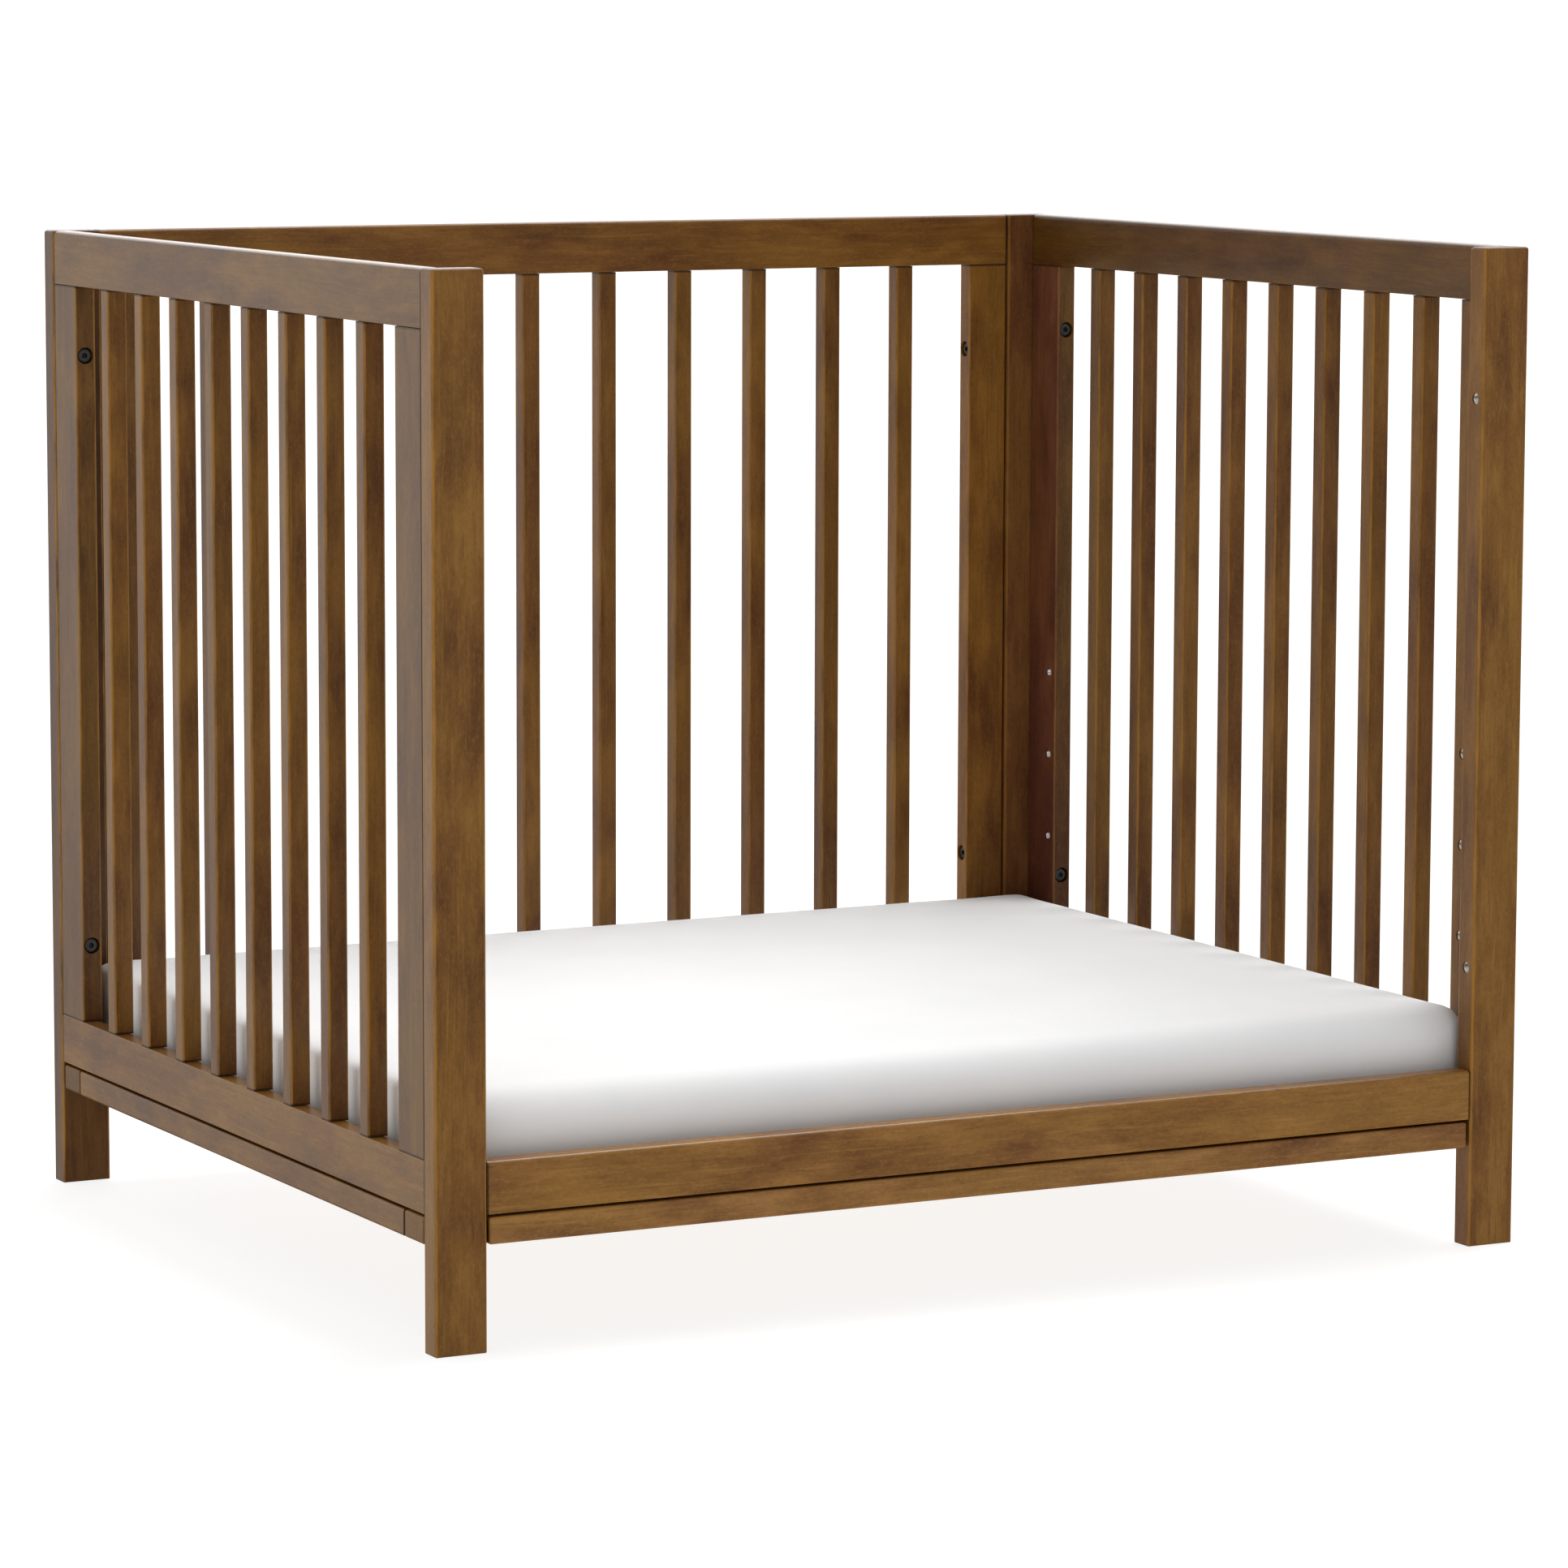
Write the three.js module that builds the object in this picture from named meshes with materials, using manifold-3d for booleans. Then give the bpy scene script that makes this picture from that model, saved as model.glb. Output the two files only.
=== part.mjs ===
// Small wooden playpen (mini crib), open at the front.
// Four flat posts carry two slatted end panels, a slatted back panel and a low front rail.
// A ring of flat boards runs round the posts below the rails and carries a lift-out
// mattress board, which can also be bolted higher up, and a foam mattress.
//
// Millimetres. Origin at the centre of the footprint, on the floor.
// +X to the right seen from the open front, +Y towards the back panel, +Z up.
import * as THREE from 'three';
import { mergeVertices } from 'three/addons/utils/BufferGeometryUtils.js';
import Module from 'manifold-3d';

// ---------- driving dimensions ----------
const LENGTH = 1003; // over the posts, X
const DEPTH = 821.4; // over the posts, Y
const HEIGHT = 844; // floor to the top of the rails

const POST_X = 44.4; // post section along the length
const POST_Y = 22.1; // post section along the depth
const FIT = 0.3; // clearance left at every touching face

const END_T = 17.9; // end panel thickness
const END_RECESS = 0.95; // end panel face behind the post face
const BACK_T = 18.1; // back panel thickness
const BACK_RECESS = 0.65;

const TOP_RAIL_H = 46.3; // depth of the top rails
const LOW_RAIL_Z0 = 109.4; // underside of the lower rails
const LOW_RAIL_Z1 = 152.2; // top of the lower rails of the three slatted panels

const FRONT_RAIL_Z1 = 151.3;
const FRONT_RAIL_T = 21;
const FRONT_RECESS = 0.7;

const END_STILE_W = 49.5; // end stiles, along Y
const BACK_STILE_W = 39.8; // back stiles, along X
const SLAT = 17.5; // slat width
const SLAT_T = 17.5; // slat thickness, through the panel
const END_SLATS = 8;
const END_PITCH = 77.6;
const BACK_SLATS = 10;
const BACK_PITCH = 77.3;

const TENON_LEN = 12; // stub tenons of the slats in the rails
const TENON_W = 11;
const TENON_T = 8;
const STILE_TENON_W = 26;

const BASE_Z0 = 85.2; // ring of flat boards round the posts
const BASE_Z1 = 107.1;
const BASE_W = 60.2; // board width
const BASE_INSET = 1.0; // board edge behind the post faces
const NOTCH_X = 46.9; // notch round each post, from the outer post faces
const NOTCH_Y = 24.6;

const END_BOLT_Z = [219.6, 737.4]; // bolts from the end stiles into the posts
const BACK_BOLT_Z = [238, 718]; // bolts from the back stiles into the posts; the same heights on the front posts
const INSERT_Z = [256.5, 334.5, 412.5]; // three heights of the mattress board
const INSERT_Y = 351; // inserts, from the middle of the end panels
const INSERT_R = 4.8;
const INSERT_DEEP = 12;

const BOLT_R = 3; // M6 bolts, 60 long
const BOLT_LEN = 60;
const HEAD_R = 5.85;
const HEAD_H = 4.4;
const BORE_R = 3.3;
const SINK_R = 7.25; // counterbore of the head
const SINK_DEEP = 6.6;
const SOCKET_R = 2.9; // hexagon socket, across corners / 2

const ANGLE_T = 2; // steel angles under the ends of the mattress board
const ANGLE_LEG_H = 30;
const ANGLE_LEG_W = 26;
const ANGLE_LEN = 752;
const ANGLE_HOLE_R = 3.6;
const BOARD_T = 12; // mattress board
const BOARD_DEPTH = 774;
const VENT_R = 17; // vent holes of the mattress board
const VENTS_X = 5;
const VENTS_Y = 3;

const MATTRESS_TOP = 198;
const MATTRESS_CORNER = 24;
const MATTRESS_FRONT = 25.4; // mattress front, behind the front post faces
const MATTRESS_BACK = 23.3; // mattress back, in front of the back post faces

// ---------- materials ----------
const stain = (hex) => new THREE.MeshStandardMaterial({ color: hex, roughness: 0.5, metalness: 0 });
const WOOD = 0x6b4a2b;
const BOARD = 0xb79a72;
const cover = () => new THREE.MeshStandardMaterial({ color: 0xf1f1f1, roughness: 0.9, metalness: 0 });
const blackSteel = () => new THREE.MeshStandardMaterial({ color: 0x16171a, roughness: 0.45, metalness: 0.6 });
const paintedSteel = () => new THREE.MeshStandardMaterial({ color: 0x2c2d30, roughness: 0.5, metalness: 0.5 });

// ---------- solids ----------
const wasm = await Module();
wasm.setup();

function solid(geometry) {
  const g = geometry.clone();
  g.deleteAttribute('normal');
  g.deleteAttribute('uv');
  const merged = mergeVertices(g, 1e-4);
  return new wasm.Manifold(
    new wasm.Mesh({
      numProp: 3,
      vertProperties: new Float32Array(merged.attributes.position.array),
      triVerts: new Uint32Array(merged.index.array),
    }),
  );
}

function geometryOf(body) {
  const m = body.getMesh();
  const g = new THREE.BufferGeometry();
  g.setAttribute('position', new THREE.BufferAttribute(new Float32Array(m.vertProperties), 3));
  g.setIndex(new THREE.BufferAttribute(new Uint32Array(m.triVerts), 1));
  const flat = g.toNonIndexed();
  flat.computeVertexNormals();
  return flat;
}

// A block of size sx, sy, sz with its centre at cx, cy, cz.
function block(sx, sy, sz, cx = 0, cy = 0, cz = 0) {
  return new THREE.BoxGeometry(sx, sy, sz).translate(cx, cy, cz);
}

// A round bar along one axis, centred at cx, cy, cz.
function rod(axis, r, length, cx, cy, cz, sides = 16) {
  const g = new THREE.CylinderGeometry(r, r, length, sides);
  if (axis === 'x') g.rotateZ(Math.PI / 2);
  if (axis === 'z') g.rotateX(Math.PI / 2);
  return g.translate(cx, cy, cz);
}

function cut(body, ...tools) {
  let s = body;
  for (const t of tools) s = s.subtract(solid(t));
  return s;
}

function join(body, ...more) {
  let s = body;
  for (const t of more) s = s.add(solid(t));
  return s;
}

const playpen = new THREE.Group();
playpen.name = 'playpen';

function place(group, name, geometry, material, x, y, z) {
  const mesh = new THREE.Mesh(geometry, material);
  mesh.name = name;
  mesh.position.set(x, y, z);
  group.add(mesh);
  return mesh;
}

// ---------- posts ----------
// sx, sy: which corner, -1 or +1. Bores run from the post's inner faces.
function postGeometry(sx, sy) {
  let s = solid(block(POST_X, POST_Y, HEIGHT));
  // bolts of the end panel, along Y, blind
  const endX = sx * (POST_X / 2 - END_RECESS - END_T / 2);
  const deep = 18;
  for (const z of END_BOLT_Z)
    s = cut(s, rod('y', BORE_R, deep + 1, endX, -sy * (POST_Y / 2 - deep / 2 + 0.5), z - HEIGHT / 2));
  if (sy > 0) {
    // bolts of the back panel, along X, blind
    const backY = POST_Y / 2 - BACK_RECESS - BACK_T / 2;
    const far = 28;
    for (const z of BACK_BOLT_Z)
      s = cut(s, rod('x', BORE_R, far + 1, -sx * (POST_X / 2 - far / 2 + 0.5), backY, z - HEIGHT / 2));
  } else {
    // threaded inserts that a front panel would bolt into
    for (const z of BACK_BOLT_Z)
      s = cut(s, rod('x', INSERT_R, INSERT_DEEP + 1, -sx * (POST_X / 2 - INSERT_DEEP / 2 + 0.5), 0, z - HEIGHT / 2, 20));
  }
  return geometryOf(s);
}

const POST_CX = LENGTH / 2 - POST_X / 2;
const POST_CY = DEPTH / 2 - POST_Y / 2;
place(playpen, 'post_front_left', postGeometry(-1, -1), stain(WOOD), -POST_CX, -POST_CY, HEIGHT / 2);
place(playpen, 'post_front_right', postGeometry(1, -1), stain(WOOD), POST_CX, -POST_CY, HEIGHT / 2);
place(playpen, 'post_rear_left', postGeometry(-1, 1), stain(WOOD), -POST_CX, POST_CY, HEIGHT / 2);
place(playpen, 'post_rear_right', postGeometry(1, 1), stain(WOOD), POST_CX, POST_CY, HEIGHT / 2);

// ---------- slatted panels ----------
const UPRIGHT_Z0 = LOW_RAIL_Z1 + FIT; // shoulders of the slats and stiles
const UPRIGHT_Z1 = HEIGHT - TOP_RAIL_H - FIT;
const UPRIGHT_H = UPRIGHT_Z1 - UPRIGHT_Z0;
const UPRIGHT_CZ = (UPRIGHT_Z0 + UPRIGHT_Z1) / 2;

// Panels are drawn with their width along U and their thickness along V.
// turn = false: U is X, V is Y (back panel). turn = true: U is Y, V is X (end panels).
function uv(turn, u, v) {
  return turn ? [v, u] : [u, v];
}

function slatGeometry(turn) {
  const [bx, by] = uv(turn, SLAT, SLAT_T);
  const [tx, ty] = uv(turn, TENON_W, TENON_T);
  const s = solid(block(bx, by, UPRIGHT_H));
  return geometryOf(join(s, block(tx, ty, UPRIGHT_H + 2 * TENON_LEN)));
}

// Rail with a mortise for every tenon. side: +1 mortises in the top face, -1 in the bottom face.
function railGeometry(turn, length, thick, height, side, slatsAt, stilesAt) {
  const [bx, by] = uv(turn, length, thick);
  let s = solid(block(bx, by, height));
  const deep = TENON_LEN + FIT + FIT;
  const cz = side * (height / 2 - deep / 2 + 0.5);
  for (const u of slatsAt) {
    const [mx, my] = uv(turn, TENON_W + 2 * FIT, TENON_T + 2 * FIT);
    const [cx, cy] = uv(turn, u, 0);
    s = cut(s, block(mx, my, deep + 1, cx, cy, cz));
  }
  for (const u of stilesAt) {
    const [mx, my] = uv(turn, STILE_TENON_W + 2 * FIT, TENON_T + 2 * FIT);
    const [cx, cy] = uv(turn, u, 0);
    s = cut(s, block(mx, my, deep + 1, cx, cy, cz));
  }
  return geometryOf(s);
}

// Stile with stub tenons, two counterbored bolt holes through its width and, on the
// end panels, three blind holes for threaded inserts in its inner face.
// toPost: -1 or +1, the side along U where the post is. inner: -1 or +1, the side along V that faces the play space.
function stileGeometry(turn, width, thick, toPost, boltZ, inner, insertU) {
  const [bx, by] = uv(turn, width, thick);
  const [tx, ty] = uv(turn, STILE_TENON_W, TENON_T);
  let s = join(solid(block(bx, by, UPRIGHT_H)), block(tx, ty, UPRIGHT_H + 2 * TENON_LEN));
  const along = turn ? 'y' : 'x';
  const across = turn ? 'x' : 'y';
  for (const z of boltZ) {
    const dz = z - UPRIGHT_CZ;
    const [sx, sy] = uv(turn, -toPost * (width / 2 - SINK_DEEP / 2 + 0.5), 0);
    s = cut(s, rod(along, BORE_R, width + 2, 0, 0, dz), rod(along, SINK_R, SINK_DEEP + 1, sx, sy, dz, 28));
  }
  if (insertU !== null)
    for (const z of INSERT_Z) {
      const [ix, iy] = uv(turn, insertU, inner * (thick / 2 - INSERT_DEEP / 2 + 0.5));
      s = cut(s, rod(across, INSERT_R, INSERT_DEEP + 1, ix, iy, z - UPRIGHT_CZ, 20));
    }
  return geometryOf(s);
}

function slatPositions(count, pitch) {
  return Array.from({ length: count }, (_, i) => (i - (count - 1) / 2) * pitch);
}

const TOP_CZ = HEIGHT - TOP_RAIL_H / 2;
const LOW_CZ = (LOW_RAIL_Z0 + LOW_RAIL_Z1) / 2;
const LOW_H = LOW_RAIL_Z1 - LOW_RAIL_Z0;

// end panels, left (side -1) and right (side +1)
const END_SPAN = DEPTH - 2 * POST_Y - 2 * FIT;
const END_STILE_U = END_SPAN / 2 - END_STILE_W / 2;
const endSlats = slatPositions(END_SLATS, END_PITCH);
for (const [label, side] of [['left', -1], ['right', 1]]) {
  const panel = new THREE.Group();
  panel.name = label + '_end_panel';
  panel.position.x = side * (LENGTH / 2 - END_RECESS - END_T / 2);
  const inner = -side;
  const stiles = [-END_STILE_U, END_STILE_U];
  place(panel, label + '_top_rail', railGeometry(true, END_SPAN, END_T, TOP_RAIL_H, -1, endSlats, stiles), stain(WOOD), 0, 0, TOP_CZ);
  place(panel, label + '_bottom_rail', railGeometry(true, END_SPAN, END_T, LOW_H, 1, endSlats, stiles), stain(WOOD), 0, 0, LOW_CZ);
  place(panel, label + '_front_stile', stileGeometry(true, END_STILE_W, END_T, -1, END_BOLT_Z, inner, END_STILE_U - INSERT_Y), stain(WOOD), 0, -END_STILE_U, UPRIGHT_CZ);
  place(panel, label + '_rear_stile', stileGeometry(true, END_STILE_W, END_T, 1, END_BOLT_Z, inner, INSERT_Y - END_STILE_U), stain(WOOD), 0, END_STILE_U, UPRIGHT_CZ);
  endSlats.forEach((u, i) => place(panel, label + '_slat_' + (i + 1), slatGeometry(true), stain(WOOD), 0, u, UPRIGHT_CZ));
  playpen.add(panel);
}

// back panel
const BACK_SPAN = LENGTH - 2 * POST_X - 2 * FIT;
const BACK_STILE_U = BACK_SPAN / 2 - BACK_STILE_W / 2;
const backSlats = slatPositions(BACK_SLATS, BACK_PITCH);
const back = new THREE.Group();
back.name = 'back_panel';
back.position.y = DEPTH / 2 - BACK_RECESS - BACK_T / 2;
const backStiles = [-BACK_STILE_U, BACK_STILE_U];
place(back, 'back_top_rail', railGeometry(false, BACK_SPAN, BACK_T, TOP_RAIL_H, -1, backSlats, backStiles), stain(WOOD), 0, 0, TOP_CZ);
place(back, 'back_bottom_rail', railGeometry(false, BACK_SPAN, BACK_T, LOW_H, 1, backSlats, backStiles), stain(WOOD), 0, 0, LOW_CZ);
place(back, 'back_left_stile', stileGeometry(false, BACK_STILE_W, BACK_T, -1, BACK_BOLT_Z, -1, null), stain(WOOD), -BACK_STILE_U, 0, UPRIGHT_CZ);
place(back, 'back_right_stile', stileGeometry(false, BACK_STILE_W, BACK_T, 1, BACK_BOLT_Z, -1, null), stain(WOOD), BACK_STILE_U, 0, UPRIGHT_CZ);
backSlats.forEach((u, i) => place(back, 'back_slat_' + (i + 1), slatGeometry(false), stain(WOOD), u, 0, UPRIGHT_CZ));
playpen.add(back);

// ---------- front rail ----------
place(
  playpen,
  'front_rail',
  block(LENGTH - 2 * POST_X - 2 * FIT, FRONT_RAIL_T, FRONT_RAIL_Z1 - LOW_RAIL_Z0),
  stain(WOOD),
  0,
  -DEPTH / 2 + FRONT_RECESS + FRONT_RAIL_T / 2,
  (FRONT_RAIL_Z1 + LOW_RAIL_Z0) / 2,
);

// ---------- ring of base boards ----------
// Front and rear boards run the full length and are notched round the posts;
// the side boards butt against them.
const BASE_H = BASE_Z1 - BASE_Z0;
const BASE_CZ = (BASE_Z0 + BASE_Z1) / 2;
for (const [name, sy] of [['base_front_board', -1], ['base_rear_board', 1]]) {
  const length = LENGTH - 2 * BASE_INSET;
  const cy = sy * (DEPTH / 2 - BASE_INSET - BASE_W / 2);
  let s = solid(block(length, BASE_W, BASE_H));
  const nx = NOTCH_X - BASE_INSET;
  const ny = NOTCH_Y - BASE_INSET;
  for (const sx of [-1, 1])
    s = cut(s, block(nx + 10, ny + 10, BASE_H + 2, sx * (length / 2 - nx / 2 + 5), sy * (BASE_W / 2 - ny / 2 + 5), 0));
  place(playpen, name, geometryOf(s), stain(WOOD), 0, cy, BASE_CZ);
}
const SIDE_BOARD_LEN = DEPTH - 2 * BASE_INSET - 2 * BASE_W - 2 * FIT;
for (const [name, sx] of [['base_left_board', -1], ['base_right_board', 1]])
  place(playpen, name, block(BASE_W, SIDE_BOARD_LEN, BASE_H), stain(WOOD), sx * (LENGTH / 2 - BASE_INSET - BASE_W / 2), 0, BASE_CZ);

// ---------- bolts ----------
// Black M6 socket-head bolt along Y: tip at -Y, underside of the head at Y = 0.
function boltGeometry() {
  const p = [
    [0, -BOLT_LEN],
    [BOLT_R - 0.7, -BOLT_LEN],
    [BOLT_R, -BOLT_LEN + 1],
    [BOLT_R, 0],
    [HEAD_R, 0],
    [HEAD_R, HEAD_H - 0.9],
    [HEAD_R - 0.9, HEAD_H],
    [0, HEAD_H],
  ].map(([r, y]) => new THREE.Vector2(r, y));
  const s = solid(new THREE.LatheGeometry(p, 16));
  return geometryOf(cut(s, new THREE.CylinderGeometry(SOCKET_R, SOCKET_R, 3, 6).translate(0, HEAD_H - 1, 0)));
}
const SEAT_END = END_STILE_W - SINK_DEEP; // from the post side of the stile to the head seat
const seatY = DEPTH / 2 - POST_Y - FIT - SEAT_END - FIT;
const seatX = LENGTH / 2 - POST_X - FIT - (BACK_STILE_W - SINK_DEEP) - FIT;
for (const [label, side] of [['left', -1], ['right', 1]])
  END_BOLT_Z.forEach((z, i) => {
    const b = place(playpen, 'bolt_' + label + '_rear_' + (i ? 'upper' : 'lower'), boltGeometry(), blackSteel(), side * (LENGTH / 2 - END_RECESS - END_T / 2), seatY, z);
    b.rotation.z = Math.PI; // head towards -Y
  });
for (const [label, side] of [['left', -1], ['right', 1]])
  BACK_BOLT_Z.forEach((z, i) => {
    const b = place(playpen, 'bolt_back_' + label + '_' + (i ? 'upper' : 'lower'), boltGeometry(), blackSteel(), side * seatX, back.position.y, z);
    b.rotation.z = side * (Math.PI / 2); // head towards the middle of the panel
  });

// ---------- mattress support ----------
// Two steel angles lie on the side boards of the base ring. Their upright legs carry the
// holes that line up with the threaded inserts when the board is bolted higher.
const INNER_X = LENGTH / 2 - END_RECESS - END_T; // inner face of the end panels
const ANGLE_OUT = INNER_X - 0.7;
const ANGLE_Z0 = BASE_Z1 + FIT;
for (const [label, side] of [['left', -1], ['right', 1]]) {
  // outline in X and Z, inner corner at the origin, mirrored by side
  let s = solid(block(ANGLE_LEG_W, ANGLE_LEN, ANGLE_T, -side * ANGLE_LEG_W / 2, 0, ANGLE_T / 2));
  s = join(s, block(ANGLE_T, ANGLE_LEN, ANGLE_LEG_H, -side * ANGLE_T / 2, 0, ANGLE_LEG_H / 2));
  for (const y of [-INSERT_Y, INSERT_Y]) s = cut(s, rod('x', ANGLE_HOLE_R, 10, 0, y, 20, 20));
  place(playpen, 'support_angle_' + label, geometryOf(s), paintedSteel(), side * ANGLE_OUT, 0, ANGLE_Z0);
}
const BOARD_LEN = 2 * (ANGLE_OUT - ANGLE_T - FIT);
const BOARD_Z0 = ANGLE_Z0 + ANGLE_T + FIT;
let boardSolid = solid(block(BOARD_LEN, BOARD_DEPTH, BOARD_T));
for (const x of slatPositions(VENTS_X, BOARD_LEN / VENTS_X))
  for (const y of slatPositions(VENTS_Y, BOARD_DEPTH / VENTS_Y)) boardSolid = cut(boardSolid, rod('z', VENT_R, BOARD_T + 2, x, y, 0, 20));
place(playpen, 'mattress_board', geometryOf(boardSolid), stain(BOARD), 0, 0, BOARD_Z0 + BOARD_T / 2);

// ---------- mattress ----------
const MATTRESS_LEN = BOARD_LEN - 0.6;
const MATTRESS_DEPTH = DEPTH - MATTRESS_FRONT - MATTRESS_BACK;
const MATTRESS_Z0 = BOARD_Z0 + BOARD_T + FIT;
const outline = new THREE.Shape();
{
  const hx = MATTRESS_LEN / 2;
  const hy = MATTRESS_DEPTH / 2;
  const r = MATTRESS_CORNER;
  outline.moveTo(hx, -hy + r);
  outline.lineTo(hx, hy - r);
  outline.absarc(hx - r, hy - r, r, 0, Math.PI / 2, false);
  outline.lineTo(-hx + r, hy);
  outline.absarc(-hx + r, hy - r, r, Math.PI / 2, Math.PI, false);
  outline.lineTo(-hx, -hy + r);
  outline.absarc(-hx + r, -hy + r, r, Math.PI, 1.5 * Math.PI, false);
  outline.lineTo(hx - r, -hy);
  outline.absarc(hx - r, -hy + r, r, 1.5 * Math.PI, 2 * Math.PI, false);
}
const mattressGeometry = new THREE.ExtrudeGeometry(outline, {
  depth: MATTRESS_TOP - MATTRESS_Z0,
  bevelEnabled: false,
  curveSegments: 5,
});
place(playpen, 'mattress', mattressGeometry, cover(), 0, (MATTRESS_FRONT - MATTRESS_BACK) / 2, MATTRESS_Z0);

export default playpen;
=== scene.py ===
import math

import bmesh
import bpy
import numpy as np
from mathutils import Matrix, Vector


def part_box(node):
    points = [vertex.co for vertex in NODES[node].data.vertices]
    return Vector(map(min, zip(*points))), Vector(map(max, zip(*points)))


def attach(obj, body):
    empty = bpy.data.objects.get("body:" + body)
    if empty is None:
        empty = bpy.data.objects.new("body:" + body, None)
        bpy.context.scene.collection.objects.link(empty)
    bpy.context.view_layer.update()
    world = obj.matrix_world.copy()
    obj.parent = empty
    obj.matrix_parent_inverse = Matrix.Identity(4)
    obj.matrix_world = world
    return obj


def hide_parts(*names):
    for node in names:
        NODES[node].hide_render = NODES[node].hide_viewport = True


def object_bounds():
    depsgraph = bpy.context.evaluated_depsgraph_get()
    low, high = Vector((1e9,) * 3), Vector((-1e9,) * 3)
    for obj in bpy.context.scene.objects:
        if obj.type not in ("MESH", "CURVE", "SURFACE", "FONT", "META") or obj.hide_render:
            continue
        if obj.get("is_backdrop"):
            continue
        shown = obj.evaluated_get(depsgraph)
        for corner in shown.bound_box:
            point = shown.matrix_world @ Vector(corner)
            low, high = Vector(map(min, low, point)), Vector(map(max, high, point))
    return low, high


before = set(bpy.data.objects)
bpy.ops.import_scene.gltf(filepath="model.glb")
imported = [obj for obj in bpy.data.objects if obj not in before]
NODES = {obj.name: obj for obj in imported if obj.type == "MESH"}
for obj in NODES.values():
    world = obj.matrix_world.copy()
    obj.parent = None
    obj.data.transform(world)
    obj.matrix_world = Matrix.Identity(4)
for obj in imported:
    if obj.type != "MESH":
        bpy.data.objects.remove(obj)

scene = bpy.context.scene
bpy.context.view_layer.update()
MM = 0.001


def collection_add(o):
    scene.collection.objects.link(o)
    return o


# ------------------------------------------------------------------ camera
YAW, PITCH, ROLL = math.radians(27.591), math.radians(7.334), 0.003
FOCAL_PX = 7684.2


def make_camera():
    cam = bpy.data.cameras.new("camera")
    cam.sensor_width = 36.0
    cam.lens = FOCAL_PX / 1932.0 * 36.0
    cam.clip_start, cam.clip_end = 0.1, 3000.0
    o = collection_add(bpy.data.objects.new("camera", cam))
    forward = Vector((math.sin(YAW) * math.cos(PITCH), math.cos(YAW) * math.cos(PITCH), -math.sin(PITCH)))
    right = Vector((math.cos(YAW), -math.sin(YAW), 0.0))
    up = right.cross(forward)
    m = Matrix((right, up, -forward)).transposed()
    m = m @ Matrix.Rotation(ROLL, 3, "Z")
    o.matrix_world = Matrix.Translation((-2.46112, -4.74113, 1.06152)) @ m.to_4x4()
    scene.camera = o
    return o


make_camera()
scene.view_settings.view_transform = "Standard"


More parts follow.
